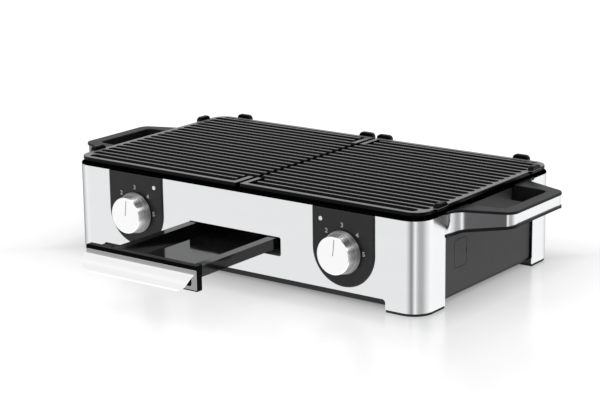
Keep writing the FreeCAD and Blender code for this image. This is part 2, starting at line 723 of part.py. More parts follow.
def control_panel():
    """Moulding that stands proud of its window in the housing, with a flange behind the sheet."""
    sheet_back_y = -SHELL_HALF_Y + SHEET
    top = SHELL_TOP - 0.2
    overlap = 3.0
    wall = -PANEL_FIT - 2.2
    face = prism(panel_outline(-PANEL_FIT, top), panel_radii(-PANEL_FIT), "Y", PANEL_FACE_Y, PANEL_BACK_Y)
    front_edges = [e for e in face.Edges if e.BoundBox.YMax < PANEL_FACE_Y + 0.01]
    face = face.makeFillet(PANEL_ROUND, front_edges)
    flange = prism(panel_outline(overlap, top), panel_radii(overlap), "Y", sheet_back_y, PANEL_BACK_Y)
    hollow = prism(panel_outline(wall, top - 2.2), panel_radii(wall), "Y", PANEL_FACE_Y + PANEL_SKIN, 0)
    spindle_hole = knob_rod(BUSH_R + 0.3, -FAR, 0)
    lamp_hole = rod(LAMP_R, -FAR, 0, x=LAMP_X, z=LAMP_Z)
    return joined([face, flange]).cut([hollow, spindle_hole, lamp_hole])


def pilot_lamp():
    back_y = PANEL_FACE_Y + PANEL_SKIN
    front_y = PANEL_FACE_Y - 0.5
    lens = rod(LAMP_R, front_y, back_y + 6.6, x=LAMP_X, z=LAMP_Z)
    lens = lens.makeFillet(0.45, [e for e in lens.Edges if e.BoundBox.YMax < front_y + 0.1])
    collar = rod(LAMP_R + 1.5, back_y, back_y + 2, x=LAMP_X, z=LAMP_Z)
    return joined([lens, collar])


def peg_rods(radius, start, end):
    return [rod(radius, start, end, x=PANEL_X + dx, z=z) for dx, z in PEG_PLACES]


def thermostat_bracket():
    """Plate on three pegs that carries the thermostat behind its panel."""
    front_y = BRACKET_Y - BRACKET_SKIN
    plate = prism(rectangle_between(PANEL_X - 30, PANEL_X + 25, 30, 92), 5, "Y", front_y, BRACKET_Y)
    pegs = peg_rods(PEG_R, PANEL_FACE_Y + PANEL_SKIN, front_y)
    holes = peg_rods(SCREW_R, front_y - 1.3, 0)
    bush_hole = knob_rod(BUSH_R, -FAR, 0)
    lamp_hole = rod(LAMP_R + 2.0, -FAR, 0, x=LAMP_X, z=LAMP_Z)
    return joined([plate] + pegs).cut(holes + [bush_hole, lamp_hole])


def bracket_screws():
    heads = peg_rods(2.8, BRACKET_Y, BRACKET_Y + 1.8)
    shanks = peg_rods(SCREW_R, BRACKET_Y - BRACKET_SKIN - 1.3, BRACKET_Y)
    return group([joined([head, shank]) for head, shank in zip(heads, shanks)])


def thermostat():
    """Control body with its threaded bush and blade terminals."""
    back_y = BRACKET_Y + THERMOSTAT_DEPTH
    can = knob_rod(THERMOSTAT_R, BRACKET_Y, back_y)
    bush = knob_rod(BUSH_R, BRACKET_Y - 4.6, BRACKET_Y)
    blades = []
    for x in (PANEL_X - BLADE_DX, PANEL_X + BLADE_DX):
        blades.append(box(x - 3.0, x + 3.0, back_y, BLADE_END_Y, KNOB_Z - 0.4, KNOB_Z + 0.4))
    return joined([can, bush] + blades).cut(knob_rod(SPINDLE_R + 0.05, -FAR, BRACKET_Y + 12))


def revolved(profile, x, z, y0):
    """Solid of revolution about a line along Y: profile is radius against distance forwards."""
    points = [V(x + radius, y0 - distance, z) for radius, distance in profile]
    wire = Part.makePolygon(points + [points[0]])
    return Part.Face(wire).revolve(V(x, y0, z), V(0, 1, 0), 360)


def knob_cap(turn):
    """Spun metal cap: a short skirt, a tapered side and a flat face."""
    outside = [(0, 0), (24.6, 0), (25.0, 0.4), (25.0, 1.4), (24.1, 5.4), (23.5, 5.9), (22.9, 6.2),
               (21.9, KNOB_LENGTH - 0.9), (21.5, KNOB_LENGTH - 0.25), (20.9, KNOB_LENGTH), (0, KNOB_LENGTH)]
    inside = [(0, -1), (21.2, -1), (20.0, KNOB_LENGTH - 1.6), (0, KNOB_LENGTH - 1.6)]
    cap = revolved(outside, PANEL_X, KNOB_Z, KNOB_BACK_Y)
    cap = cap.cut(revolved(inside, PANEL_X, KNOB_Z, KNOB_BACK_Y))
    return cap.cut(pointer_shape(turn))


def pointer_shape(turn):
    """Thin strip let into the knob's face from its centre to near its rim."""
    face_y = KNOB_BACK_Y - KNOB_LENGTH
    strip = prism(rectangle_between(PANEL_X - 0.45, PANEL_X + 0.45, KNOB_Z, KNOB_Z + 19.2),
                  0.35, "Y", face_y, face_y + 0.5)
    strip.rotate(V(PANEL_X, 0, KNOB_Z), V(0, 1, 0), turn)
    return strip


def knob_core():
    """Plastic core that fills the cap and grips the spindle."""
    profile = [(0, 0.6), (20.9, 0.6), (19.7, KNOB_LENGTH - 1.7), (0, KNOB_LENGTH - 1.7)]
    core = revolved(profile, PANEL_X, KNOB_Z, KNOB_BACK_Y)
    ring = revolved([(8.0, -1), (17.5, -1), (17.0, 15.0), (8.0, 15.0)], PANEL_X, KNOB_Z, KNOB_BACK_Y)
    bore = knob_rod(SPINDLE_R, KNOB_BACK_Y - KNOB_GRIP_DEPTH, 0)
    return core.cut([ring, bore])


def knob_spindle():
    return knob_rod(SPINDLE_R, KNOB_BACK_Y - KNOB_GRIP_DEPTH, BRACKET_Y + 10)


# ---------------------------------------------------------------- drip drawer
def drawer_front():
    """Bar across the tray's end, with the two blocks that stop it at the housing."""
    body = prism(rectangle_between(-DRAWER_HALF_X, DRAWER_HALF_X, DRAWER_BOTTOM, DRAWER_TOP),
                 1.2, "Y", DRAWER_FRONT_Y, DRAWER_BACK_Y)
    blocks = []
    for left, right in STOP_SPANS:
        outline = rectangle_between(left, right, STOP_BOTTOM, STOP_TOP)
        blocks.append(prism(outline, [1, 1, 2, 2], "Y", DRAWER_BACK_Y, DRAWER_BACK_Y + STOP_DEPTH))
    front = joined([body] + blocks)
    return front.cut(moved_x(drip_tray_envelope(), TRAY_X))


def tray_block(grow, floor_lift):
    """Drafted block: trapezoid seen from the front, sloping floor seen from the side."""
    rear = DRAWER_BACK_Y + TRAY_LENGTH - grow
    front = DRAWER_BACK_Y + grow
    low = TRAY_BOTTOM + floor_lift
    high = TRAY_RIM_TOP + floor_lift
    side_view = [(front, low + TRAY_FRONT_RISE), (TRAY_BEND_Y, low), (rear - 1.5, low),
                 (rear, high), (front, high)]
    top_half = TRAY_RIM_HALF_X - TRAY_RIM_WIDTH + TRAY_SKIN - grow
    low_half = TRAY_FLOOR_HALF_X - grow
    end_view = [(-low_half, TRAY_BOTTOM), (low_half, TRAY_BOTTOM), (top_half, TRAY_RIM_TOP + 2),
                (-top_half, TRAY_RIM_TOP + 2)]
    long_block = prism(side_view, [0, 0, 2.0 - grow, 0, 0], "X", -FAR, FAR)
    return long_block.common(prism(end_view, [5 - grow, 5 - grow, 0, 0], "Y", -FAR, FAR))


def drip_tray_envelope():
    """The drip tray without its hollow."""
    rim_end = DRAWER_BACK_Y + TRAY_LENGTH + 3.5
    above = box(-FAR, FAR, -FAR, FAR, TRAY_RIM_TOP, FAR)
    inner = TRAY_RIM_HALF_X - TRAY_SKIN
    rim = prism(rectangle_between(-TRAY_RIM_HALF_X, TRAY_RIM_HALF_X, DRAWER_BACK_Y, rim_end),
                [0, 0, 4, 4], "Z", TRAY_SKIRT_BOTTOM, TRAY_RIM_TOP)
    under_rim = box(-inner, inner, DRAWER_BACK_Y, FAR, 0, TRAY_RIM_TOP - TRAY_SKIN)
    return joined([rim.cut(under_rim), tray_block(0, 0).cut(above)])


def drip_tray():
    return drip_tray_envelope().cut(tray_block(TRAY_SKIN, TRAY_SKIN))


def lip_point(radius, turn):
    """Point on the lip's section, turned from straight up towards the front."""
    angle = math.radians(turn)
    y = DRAWER_FRONT_Y - 0.6 - radius * math.sin(angle)
    return V(0, y, LIP_ROOT_Z - LIP_R + radius * math.cos(angle))


def drawer_pull():
    """Steel facing with a window and a lip that curls out and down from near its top edge."""
    facing = prism(rectangle_between(-PULL_HALF_X, PULL_HALF_X, PULL_BOTTOM, PULL_TOP), 0.8, "Y",
                   DRAWER_FRONT_Y - PULL_SHEET, DRAWER_FRONT_Y)
    window = prism(rectangle_between(-PULL_WINDOW_X, PULL_WINDOW_X, *PULL_WINDOW_Z),
                   [4, 4, 2, 2], "Y", -FAR, 0)
    turns = (0, LIP_TURN / 2, LIP_TURN)
    outer = [lip_point(LIP_R, turn) for turn in turns]
    inner = [lip_point(LIP_R - PULL_SHEET, turn) for turn in turns]
    section = Part.Wire([Part.Arc(*outer).toShape(), Part.LineSegment(outer[2], inner[2]).toShape(),
                         Part.Arc(*reversed(inner)).toShape(),
                         Part.LineSegment(inner[0], outer[0]).toShape()])
    lip = Part.Face(section).extrude(V(2 * FAR, 0, 0))
    lip.translate(V(-FAR, 0, 0))
    front_view = prism(rectangle_between(-LIP_HALF_X, LIP_HALF_X, outer[2].z - 0.1, PULL_TOP),
                       [LIP_CORNER_R, LIP_CORNER_R, 0, 0], "Y", -FAR, DRAWER_FRONT_Y)
    return joined([facing.cut(window), lip.common(front_view)])


def drawer_guide():
    """Rail that carries the tray's skirt, with a foot on the base pan."""
    inner = GUIDE_INNER_X
    outer = inner + GUIDE_SKIN
    ledge_x = inner - 4.2
    ledge_top = TRAY_SKIRT_BOTTOM - GAP
    ledge_bottom = ledge_top - 1.6
    top = ledge_top + 4.5
    foot_x = inner + 16.0
    foot_top = BASE_FLOOR_TOP + GUIDE_SKIN
    profile = [(ledge_x, ledge_bottom), (inner, ledge_bottom), (inner, BASE_FLOOR_TOP),
               (foot_x, BASE_FLOOR_TOP), (foot_x, foot_top), (outer, foot_top), (outer, top),
               (inner, top), (inner, ledge_top), (ledge_x, ledge_top)]
    return prism(profile, 0, "Y", GUIDE_FRONT_Y, GUIDE_BACK_Y)


def drawer_shelf():
    """Flat shelf inside the slot, wide at the front and held between the guides further back."""
    bottom = SHELF_TOP - 1.6
    front = box(SLOT_LEFT_X - SHELF_MARGIN_X, SLOT_RIGHT_X + SHELF_MARGIN_X,
                -SHELL_HALF_Y + SHEET, GUIDE_FRONT_Y, bottom, SHELF_TOP)
    back = box(TRAY_X - GUIDE_INNER_X, TRAY_X + GUIDE_INNER_X,
               GUIDE_FRONT_Y, SHELF_BACK_Y, bottom, SHELF_TOP)
    return joined([front, back])


# ---------------------------------------------------------------- electrics in the base
TERMINAL_X = (-182.0, -170.0, -158.0)
TERMINAL_Y = (96.0, 112.0)
TERMINAL_TOP = BASE_FLOOR_TOP + 14.0


def terminal_block():
    outline = rectangle_between(TERMINAL_X[0] - 6, TERMINAL_X[2] + 6, *TERMINAL_Y)
    block = prism(outline, 1.5, "Z", BASE_FLOOR_TOP, TERMINAL_TOP)
    middle = sum(TERMINAL_Y) / 2
    wells = [rod(2.6, TERMINAL_TOP - 6, FAR, x=x, y=middle, axis="Z") for x in TERMINAL_X]
    return block.cut(wells)


def thermal_cutout():
    """Safety fuse clipped under the reflector."""
    x = 120.0
    button = rod(7.0, REFLECTOR_FLOOR - 8, REFLECTOR_FLOOR, x=x, axis="Z")
    clip = box(x - 14, x + 14, -3, 3, REFLECTOR_FLOOR - 1.5, REFLECTOR_FLOOR)
    return joined([button, clip])


def lead(corners):
    """Insulated lead: straight runs with bends as large as they allow."""
    points = [V(*c) for c in corners]
    radii = [0]
    for before, corner, after in zip(points, points[1:], points[2:]):
        runs = min(before.distanceToPoint(corner), corner.distanceToPoint(after))
        turn = math.pi - (before - corner).getAngle(after - corner)
        radii.append(0.45 * runs / math.tan(turn / 2))
    radii.append(0)
    return tube_along(corners, radii, LEAD_R)


def element_feed(side):
    """From the outer blade of a thermostat to the front leg of its heater."""
    blade_x = PANEL_X + BLADE_DX
    row = ELEMENT_ROWS[0]
    route = [(blade_x, BLADE_END_Y, KNOB_Z), (blade_x, -98, KNOB_Z), (169, -80, 50), (196, -78, 42),
             (212, -90, 50), (ELEMENT_LEG_X, row, 64), (ELEMENT_LEG_X, row, ELEMENT_LEG_BOTTOM)]
    return lead([(side * x, y, z) for x, y, z in route])


def wiring_right():
    """Leads of the right-hand heater, which cross the base behind the drawer."""
    blade_x = PANEL_X - BLADE_DX
    row = ELEMENT_ROWS[3]
    supply = [(blade_x, BLADE_END_Y, KNOB_Z), (blade_x, -98, KNOB_Z), (139, -74, 40), (120, -30, 18),
              (104, 24, 14), (98, 76, 14), (72, 114, 14), (10, 124, 14), (-60, 124, 14), (-112, 112, 15),
              (-138, 104, 17), (-152, 104, 17)]
    back = [(ELEMENT_LEG_X, row, ELEMENT_LEG_BOTTOM), (ELEMENT_LEG_X, row, 60), (206, 112, 36),
            (172, 122, 20), (110, 128, 18), (30, 130, 18), (-50, 130, 18), (-120, 130, 19),
            (-158, 124, 19), (-170, 118, 19), (-170, TERMINAL_Y[1], 19)]
    return group([element_feed(1), lead(supply), lead(back)])


def wiring_left():
    blade_x = BLADE_DX - PANEL_X
    row = ELEMENT_ROWS[3]
    supply = [(blade_x, BLADE_END_Y, KNOB_Z), (blade_x, -98, KNOB_Z), (-135, -74, 42), (-128, -30, 20),
              (-128, 20, 15), (-142, 60, 16), (-160, 82, 18), (-160, TERMINAL_Y[0], 18)]
    back = [(-ELEMENT_LEG_X, row, ELEMENT_LEG_BOTTOM), (-ELEMENT_LEG_X, row, 60), (-212, 104, 44),
            (-206, 104, 28), (-198, 104, 18), (TERMINAL_X[0] - 6, 104, 18)]
    return group([element_feed(-1), lead(supply), lead(back)])


def build_nodes():
    NODES["front_shell"] = front_shell()
    NODES["rear_shell"] = rear_shell()
    NODES["cord_gland"] = cord_gland()
    NODES["gland_nut"] = gland_nut()
    NODES["base_pan"] = base_pan()
    NODES["standoff_posts"] = standoff_posts()
    NODES["base_screws"] = base_screws()
    NODES["top_frame"] = top_frame()
    NODES["grease_channel"] = grease_channel()
    NODES["terminal_block"] = terminal_block()
    NODES["wiring_right"] = wiring_right()
    NODES["wiring_left"] = wiring_left()
    NODES["drawer_front"] = drawer_front()
    NODES["drawer_pull"] = drawer_pull()
    NODES["drip_tray"] = moved_x(drip_tray(), TRAY_X)
    NODES["drawer_shelf"] = drawer_shelf()
    pad = foot_pad()
    pair("foot_pad_front", pad)
    pair("foot_pad_rear", mirrored_y(pad))
    pair("side_panel", side_panel())
    pair("service_cover", service_cover())
    pair("handle_strap", handle_strap())
    pair("handle_grip", handle_grip())
    pair("handle_screws", handle_screws())
    pair("grill_plate", grill_plate())
    pair("heating_element", heating_element())
    pair("element_clips", element_clips())
    pair("reflector_pan", reflector_pan())
    pair("thermal_cutout", thermal_cutout())
    pair("control_panel", control_panel())
    pair("pilot_lamp", pilot_lamp())
    pair("thermostat_bracket", thermostat_bracket())
    pair("bracket_screws", bracket_screws())
    pair("thermostat", thermostat())
    NODES["knob_cap_right"] = knob_cap(KNOB_TURN)
    NODES["knob_cap_left"] = mirrored_x(knob_cap(-KNOB_TURN))
    NODES["knob_pointer_right"] = pointer_shape(KNOB_TURN)
    NODES["knob_pointer_left"] = mirrored_x(pointer_shape(-KNOB_TURN))
    pair("knob_core", knob_core())
    pair("knob_spindle", knob_spindle())
    NODES["drawer_guide_right"] = moved_x(drawer_guide(), TRAY_X)
    NODES["drawer_guide_left"] = moved_x(mirrored_x(drawer_guide()), TRAY_X)


def main():
    os.makedirs("parts", exist_ok=True)
    build_nodes()
    for name, shape in sorted(NODES.items()):
        box_size = shape.BoundBox
        print(f"{name:24s} solids {len(shape.Solids):3d} valid {shape.isValid()} "
              f"volume {shape.Volume:10.0f} x {box_size.XMin:7.1f} {box_size.XMax:7.1f} "
              f"y {box_size.YMin:7.1f} {box_size.YMax:7.1f} z {box_size.ZMin:6.1f} {box_size.ZMax:6.1f}")
        shape.exportStep(os.path.join("parts", name + ".step"))


main()
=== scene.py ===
import math

import bpy
import numpy as np
from mathutils import Matrix, Vector


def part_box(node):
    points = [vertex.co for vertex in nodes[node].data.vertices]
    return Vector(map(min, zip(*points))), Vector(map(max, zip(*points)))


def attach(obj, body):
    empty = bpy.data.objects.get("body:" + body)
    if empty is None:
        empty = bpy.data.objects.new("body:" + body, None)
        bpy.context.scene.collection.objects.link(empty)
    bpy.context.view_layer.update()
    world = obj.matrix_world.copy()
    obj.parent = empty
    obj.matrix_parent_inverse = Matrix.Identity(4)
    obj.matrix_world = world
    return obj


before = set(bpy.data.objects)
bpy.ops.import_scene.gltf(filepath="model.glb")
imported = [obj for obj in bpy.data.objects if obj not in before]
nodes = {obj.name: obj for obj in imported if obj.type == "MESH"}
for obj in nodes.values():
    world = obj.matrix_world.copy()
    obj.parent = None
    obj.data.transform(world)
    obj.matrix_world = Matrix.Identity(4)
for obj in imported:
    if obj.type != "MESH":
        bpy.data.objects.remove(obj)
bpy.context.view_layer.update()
mm = 0.001
noiseSpan = (0.3, 0.7)  # most of a noise texture's values lie between these
print("frame loaded:", len(nodes), "nodes")


def hexToLinear(code):
    # sRGB hex to a linear colour with alpha
    values = [int(code[i:i + 2], 16) / 255 for i in (0, 2, 4)]
    linear = [v / 12.92 if v <= 0.04045 else ((v + 0.055) / 1.055) ** 2.4 for v in values]
    return (*linear, 1.0)


def grey(level):
    return (level, level, level, 1.0)


def addNode(tree, kind, inputs=None, **settings):
    # a node with its settings; an input takes a value, a socket, or a node's first output
    made = tree.nodes.new("ShaderNode" + kind)
    for name, value in settings.items():
        setattr(made, name, value)
    for name, value in (inputs or {}).items():
        if isinstance(value, bpy.types.Node):
            value = value.outputs[0]
        if isinstance(value, bpy.types.NodeSocket):
            tree.links.new(value, made.inputs[name])
        else:
            made.inputs[name].default_value = value
    return made


def fillRamp(ramp, stops):
    # colour stops as position and linear colour
    elements = ramp.color_ramp.elements
    while len(elements) < len(stops):
        elements.new(1.0)
    for element, (position, colour) in zip(elements, stops):
        element.position = position
        element.color = colour


def levelRamp(tree, measure, stops):
    # grey levels along a measure: the first and last stop give its ends
    first, last = stops[0][0], stops[-1][0]
    along = addNode(tree, "MapRange", {"Value": measure, "From Min": first, "From Max": last})
    ramp = addNode(tree, "ValToRGB", {"Fac": along})
    fillRamp(ramp, [((mark - first) / (last - first), grey(level)) for mark, level in stops])
    return ramp


def edgeSteps(tree, measure, edgesMm):
    # an edge is its middle and half its width: its step is 0 before it and 1 past it
    return [addNode(tree, "MapRange", {"Value": measure, "From Min": (middle - half) * mm,
                                       "From Max": (middle + half) * mm})
            for middle, half in edgesMm]


def perMetre(sizeMm):
    return [1000 / s for s in sizeMm]


def startMaterial(name, values):
    material = bpy.data.materials.new(name)
    material.use_nodes = True
    tree = material.node_tree
    tree.nodes.clear()
    shader = addNode(tree, "BsdfPrincipled")
    shader.inputs["Metallic"].default_value = values.get("metallic", 0.0)
    shader.inputs["Specular IOR Level"].default_value = values.get("specular", 0.5)
    addNode(tree, "OutputMaterial", {"Surface": shader})
    return material, tree, shader


def finishSurface(tree, shader, values, place):
    # tone drifts along a colour ramp, and grain carries roughness and relief
    spread = addNode(tree, "Mapping", {"Vector": place, "Scale": perMetre(values["toneMm"])})
    tone = addNode(tree, "TexNoise", {"Vector": spread, "Scale": 1.0, "Detail": 2.0})
    ramp = addNode(tree, "ValToRGB", {"Fac": tone})
    colours = [hexToLinear(code) for code in values["colours"]]
    fillRamp(ramp, list(zip(np.linspace(*noiseSpan, len(colours)), colours)))
    fine = addNode(tree, "Mapping", {"Vector": place, "Scale": perMetre(values["grainMm"])})
    grain = addNode(tree, "TexNoise", {"Vector": fine, "Scale": 1.0,
                                       "Detail": values.get("detail", 3.0)})
    smooth, dull = values["roughness"]
    rough = addNode(tree, "MapRange", {"Value": grain, "From Min": noiseSpan[0],
                                       "From Max": noiseSpan[1], "To Min": smooth, "To Max": dull})
    relief = addNode(tree, "Bump", {"Height": grain, "Strength": 0.5,
                                    "Distance": values["reliefMm"] * mm})
    tree.links.new(ramp.outputs["Color"], shader.inputs["Base Color"])
    tree.links.new(rough.outputs["Result"], shader.inputs["Roughness"])
    tree.links.new(relief.outputs["Normal"], shader.inputs["Normal"])


def secondTone(tree, shader, factor, code):
    # another colour over the first, as far as the factor says
    first = shader.inputs["Base Color"].links[0].from_socket
    tone = addNode(tree, "Mix", {"Factor": factor, "A": first, "B": hexToLinear(code)},
                   data_type="RGBA")
    tree.links.new(tone.outputs["Result"], shader.inputs["Base Color"])


def surfaceMaterial(name, values):
    # the pattern reads Object coordinates; a band of painted light, in a second tone, lies between
    # two edges, measured from the middle plane along one axis
    material, tree, shader = startMaterial(name, values)
    place = addNode(tree, "TexCoord").outputs["Object"]
    finishSurface(tree, shader, values, place)
    if "paintedLightMm" in values:
        along = addNode(tree, "SeparateXYZ", {"Vector": place}).outputs[values["paintedLightAxis"]]
        away = addNode(tree, "Math", {0: along}, operation="ABSOLUTE")
        inner, outer = edgeSteps(tree, away, values["paintedLightMm"])
        band = addNode(tree, "Math", {0: inner, 1: outer}, operation="SUBTRACT")
        secondTone(tree, shader, band, values["paintedLightColour"])
    return material


def spunMaterial(name, values):
    # rings about the knob axis: the pattern reads the distance from it and the depth along it
    material, tree, shader = startMaterial(name, values)
    place = addNode(tree, "SeparateXYZ", {"Vector": addNode(tree, "TexCoord").outputs["Object"]})
    side = addNode(tree, "Math", {0: place.outputs["X"]}, operation="ABSOLUTE")
    across = addNode(tree, "Math", {0: side, 1: values["axisX"] * mm}, operation="SUBTRACT")
    up = addNode(tree, "Math", {0: place.outputs["Z"], 1: values["axisZ"] * mm},
                 operation="SUBTRACT")
    squares = [addNode(tree, "Math", {0: part, 1: part}, operation="MULTIPLY")
               for part in (across, up)]
    squareSum = addNode(tree, "Math", {0: squares[0], 1: squares[1]})
    radius = addNode(tree, "Math", {0: squareSum}, operation="SQRT")
    rings = addNode(tree, "CombineXYZ", {"X": radius, "Y": place.outputs["Y"]})
    finishSurface(tree, shader, values, rings)
    # the lathe's lines run round the axis, so a highlight spreads across them
    half = addNode(tree, "Math", {0: place.outputs["X"]}, operation="SIGN")
    offset = addNode(tree, "Math", {0: half, 1: across}, operation="MULTIPLY")
    back = addNode(tree, "Math", {0: offset, 1: -1.0}, operation="MULTIPLY")
    around = addNode(tree, "CombineXYZ", {"X": up, "Z": back})
    lines = addNode(tree, "VectorTransform", {"Vector": around}, vector_type="VECTOR",
                    convert_from="OBJECT", convert_to="WORLD")
    tangent = addNode(tree, "VectorMath", {0: lines}, operation="NORMALIZE")
    tree.links.new(tangent.outputs["Vector"], shader.inputs["Tangent"])
    shader.inputs["Anisotropic"].default_value = values["anisotropic"]
    shader.inputs["Anisotropic Rotation"].default_value = values["turn"]
    # the wall is rougher than the face, and the ring at the foot is left matt
    wall, foot = edgeSteps(tree, place.outputs["Y"], values["edgesMm"])
    rough = shader.inputs["Roughness"].links[0].from_socket
    for step, added in zip((wall, foot), values["edgeRoughness"]):
        rough = addNode(tree, "Math", {0: step, 1: added, 2: rough}, operation="MULTIPLY_ADD")
    tree.links.new(rough.outputs["Value"], shader.inputs["Roughness"])
    secondTone(tree, shader, foot, values["footColour"])
    return material


def paint(material, *names):
    # the material goes on every CAD node whose name starts with one of the names
    for node in nodes.values():
        if node.name.startswith(names):
            node.data.materials.clear()
            node.data.materials.append(material)


# satin stainless steel, ground along the sheet: a soft even sheen with faint level streaks
groundSteel = {
    "colours": ("E8E9EA", "EAEBEC"), "toneMm": (220, 220, 14), "grainMm": (50, 50, 0.5),
    "roughness": (0.18, 0.2), "reliefMm": 0.00012, "metallic": 1.0,
}
paint(surfaceMaterial("groundStainlessSheet", groundSteel), "front_shell", "rear_shell")

# polished stainless strip: bright, with faint drawing lines along its length, and painted
# shade on the flat arms between the bends, which are coloured mid grey
strapSteel = {
    "colours": ("E4E5E7", "EAEBEC"), "toneMm": (160, 160, 12), "grainMm": (40, 40, 0.6),
    "roughness": (0.12, 0.16), "reliefMm": 0.001, "metallic": 1.0,
    "paintedLightAxis": "X", "paintedLightMm": ((267.0, 1.5), (309.5, 1.5)), "paintedLightColour": "808082",
}
paint(surfaceMaterial("polishedStainlessStrip", strapSteel), "handle_strap")

# the drawer's lip is the same sheet, ground from side to side: bright, with painted shade on
# the facing against the bar
pullSteel = dict(groundSteel, colours=("F4F4F5", "F7F7F8"), toneMm=(160, 4, 4),
                 grainMm=(60, 0.6, 0.6), paintedLightAxis="Y", paintedLightMm=((300.0, 0.3), (318.0, 0.3)),
                 paintedLightColour="9E9EA0")
paint(surfaceMaterial("groundStainlessLip", pullSteel), "drawer_pull")

# stainless cap turned on a lathe: fine rings on the face and round the wall
capSteel = {
    "axisX": 152.95, "axisZ": 60.8,
    "colours": ("FBFBFC", "FFFFFF"), "toneMm": (6, 6, 6), "grainMm": (0.7, 0.7, 0.7),
    "roughness": (0.10, 0.14), "reliefMm": 0.002, "metallic": 1.0,
    "anisotropic": 0.9, "turn": 0.25,
    # the edges where the wall begins behind the face, and the foot ring behind the wall
    "edgesMm": ((-167.5, 0.3), (-156.4, 0.2)), "edgeRoughness": (0.14, 0.25),
    "footColour": "9C9C9E",
}
paint(spunMaterial("spunStainlessCap", capSteel), "knob_cap")

# spark-eroded ABS: near black, a soft sheen that still mirrors the knob faintly
panelPlastic = {
    "colours": ("1E1E1F", "232324"), "toneMm": (40, 40, 40), "grainMm": (0.7, 0.7, 0.7),
    "roughness": (0.26, 0.36), "reliefMm": 0.012, "specular": 0.25,
}
paint(surfaceMaterial("erodedAbs", panelPlastic), "control_panel")

# moulded polypropylene with a fine leather grain: dark grey and matt
sidePlastic = {
    "colours": ("303032", "353537"), "toneMm": (60, 60, 60), "grainMm": (1.2, 1.2, 1.2),
    "roughness": (0.45, 0.58), "reliefMm": 0.03, "specular": 0.35,
}
paint(surfaceMaterial("grainedPolypropylene", sidePlastic), "side_panel", "service_cover")

# glass-filled nylon: satin black, a little mottled by its fibres
gripPlastic = {
    "colours": ("131314", "1B1B1D"), "toneMm": (14, 14, 14), "grainMm": (0.9, 0.9, 0.9),
    "roughness": (0.30, 0.42), "reliefMm": 0.015, "specular": 0.1,
}
paint(surfaceMaterial("glassFilledNylon", gripPlastic), "handle_grip")

# PBT from a polished mould: glossy black with a slight flow ripple
drawerPlastic = {
    "colours": ("0B0B0C", "121213"), "toneMm": (50, 50, 50), "grainMm": (14, 14, 14),
    "roughness": (0.07, 0.12), "reliefMm": 0.02, "specular": 0.3, "detail": 1.0,
}
paint(surfaceMaterial("glossyPbt", drawerPlastic), "drip_tray")

# the shelf inside the slot, satin: its pale grey is painted light that lifts it in the slot's
# shade
paintedLitShelf = {
    "colours": ("A6A6A8", "AEAEB0"), "toneMm": (60, 60, 60), "grainMm": (1.5, 1.5, 1.5),
    "roughness": (0.4, 0.5), "reliefMm": 0.008, "specular": 0.4,
}
paint(surfaceMaterial("paintedLitGreySheet", paintedLitShelf), "drawer_shelf")

# the drawer's front bar: the same PBT, coloured a deeper black and less glossy
barPlastic = dict(drawerPlastic, colours=("030304", "060607"), roughness=(0.2, 0.3),
                  specular=0.02)
paint(surfaceMaterial("deepBlackPbt", barPlastic), "drawer_front")

# cast aluminium under a sprayed non-stick coat: black, fine orange peel, satin, with a painted
# highlight: the crests of the ribs and rims are coloured paler than the valleys
coating = {
    "colours": ("020203", "050506"), "toneMm": (22, 22, 22), "grainMm": (1.0, 1.0, 1.0),
    "roughness": (0.22, 0.3), "reliefMm": 0.008, "specular": 0.08,
    "paintedLightAxis": "Z", "paintedLightMm": ((117.45, 0.15), (118.1, 0.2)), "paintedLightColour": "7C7C7E",
}
paint(surfaceMaterial("sprayedNonStick", coating), "grill_plate")

# heat-resistant phenolic: dull black that gives almost no reflection
framePlastic = {
    "colours": ("030303", "050506"), "toneMm": (30, 30, 30), "grainMm": (1.1, 1.1, 1.1),
    "roughness": (0.6, 0.75), "reliefMm": 0.02, "specular": 0.0,
}
paint(surfaceMaterial("dullPhenolic", framePlastic), "top_frame")

# moulded polypropylene tray under the housing: black and matt, with a coarse grain
panPlastic = dict(sidePlastic, colours=("141415", "1C1C1D"), grainMm=(1.6, 1.6, 1.6))
paint(surfaceMaterial("blackPolypropylene", panPlastic), "base_pan")

# moulded nylon of the lead's bush and its nut, and of the knob's core: satin black
bushPlastic = dict(gripPlastic, colours=("111112", "19191A"), toneMm=(8, 8, 8))
paint(surfaceMaterial("blackNylon", bushPlastic), "cord_gland", "gland_nut", "knob_core")

# moulded rubber: deep grey, chalky
footRubber = {
    "colours": ("1B1B1C", "252526"), "toneMm": (9, 9, 9), "grainMm": (0.8, 0.8, 0.8),
    "roughness": (0.75, 0.9), "reliefMm": 0.03, "specular": 0.3,
}
paint(surfaceMaterial("mouldedRubber", footRubber), "foot_pad")

# moulded polycarbonate lens, unlit: opal white with a soft gloss
lampLens = {
    "colours": ("EFEFEC", "F8F8F6"), "toneMm": (3, 3, 3), "grainMm": (0.6, 0.6, 0.6),
    "roughness": (0.22, 0.3), "reliefMm": 0.01, "specular": 0.5,
}
paint(surfaceMaterial("opalPolycarbonate", lampLens), "pilot_lamp")

# moulded ABS inlay of the knob's mark: dark grey with a soft sheen
markPlastic = dict(panelPlastic, colours=("4A4A4C", "555557"), grainMm=(0.5, 0.5, 0.5))
paint(surfaceMaterial("greyAbsInlay", markPlastic), "knob_pointer")

# annealed nickel steel sheath: brown and blue heat tints along the tube
sheath = {
    "colours": ("2C2A2C", "4A423B", "3A3C42", "57504A"),
    "toneMm": (18, 18, 18), "grainMm": (1.2, 1.2, 1.2),
    "roughness": (0.38, 0.55), "reliefMm": 0.02, "metallic": 1.0,
}
paint(surfaceMaterial("annealedSheath", sheath), "heating_element")

# aluminised sheet: pale with a cloudy spangle
spangle = {
    "colours": ("A9AAAC", "C3C4C6", "B2B3B6", "CFD0D1"),
    "toneMm": (7, 7, 7), "grainMm": (2.5, 2.5, 2.5),
    "roughness": (0.24, 0.4), "reliefMm": 0.01, "metallic": 1.0,
}
paint(surfaceMaterial("aluminisedSheet", spangle), "reflector_pan", "grease_channel")

